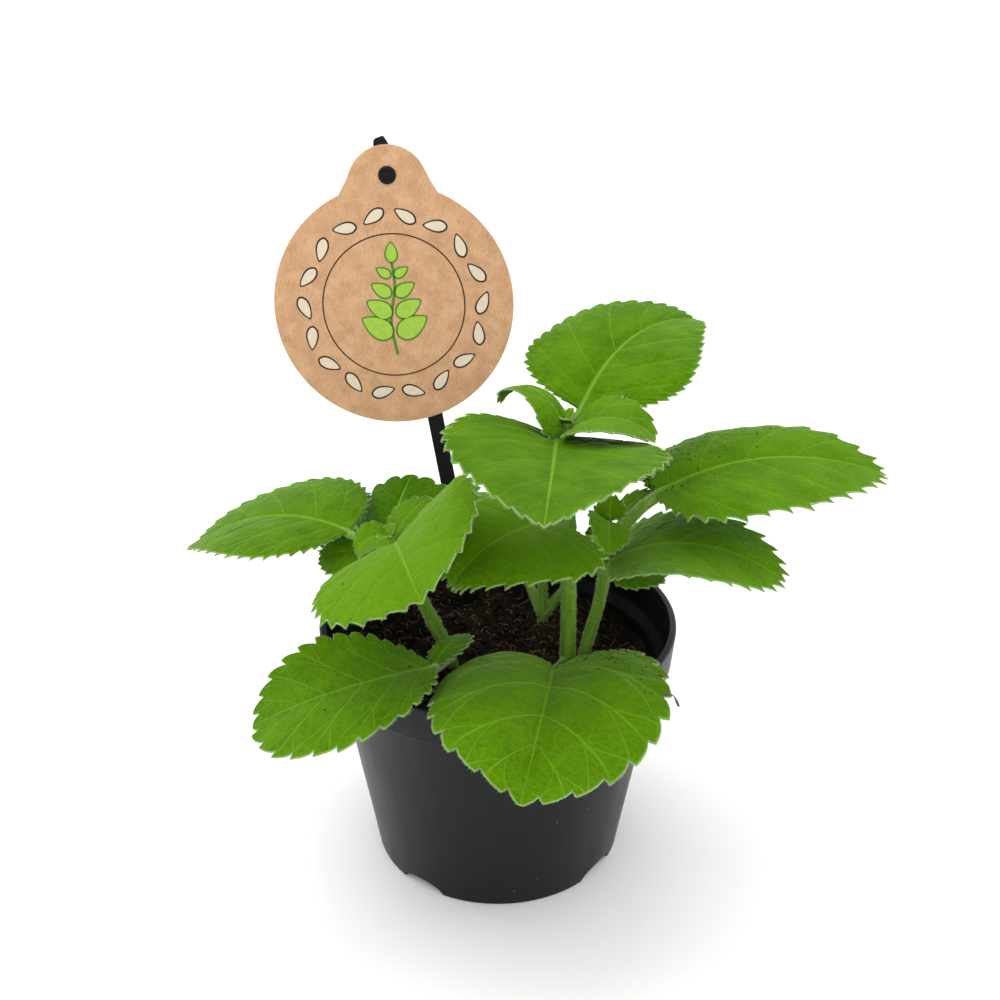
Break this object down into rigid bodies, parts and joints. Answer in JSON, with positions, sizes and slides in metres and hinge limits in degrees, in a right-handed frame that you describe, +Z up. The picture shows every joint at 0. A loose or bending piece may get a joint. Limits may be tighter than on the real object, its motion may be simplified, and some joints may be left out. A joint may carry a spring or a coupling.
{
  "type": "potted indian borage",
  "caption": "Young Indian borage herb: leafy cuttings with broad toothed leaves in a low black nursery pot, with a round kraft card hung on a stake.",
  "frame": {"origin": "middle of the pot's underside, on the flat centre foot pad that stands on the surface", "axes": "+Z up out of the pot, -Y the front that faces the viewer, +X to the viewer's right"},
  "size_m": [0.2359, 0.1809, 0.2358],
  "materials": {
    "pot_plastic": "satin charcoal moulded plastic",
    "soil": "damp dark peat with brown fibres",
    "stake_plastic": "black moulded plastic",
    "card": "uncoated kraft card",
    "leaf": "velvety living leaf and stem"
  },
  "bodies": {
    "root": {"pot": "pot_plastic", "soil": "soil", "label_stake": "stake_plastic", "label_card": "card", "cutting_left": "leaf", "cutting_tall": "leaf", "cutting_right": "leaf", "cutting_back": "leaf"}
  },
  "joints": []
}
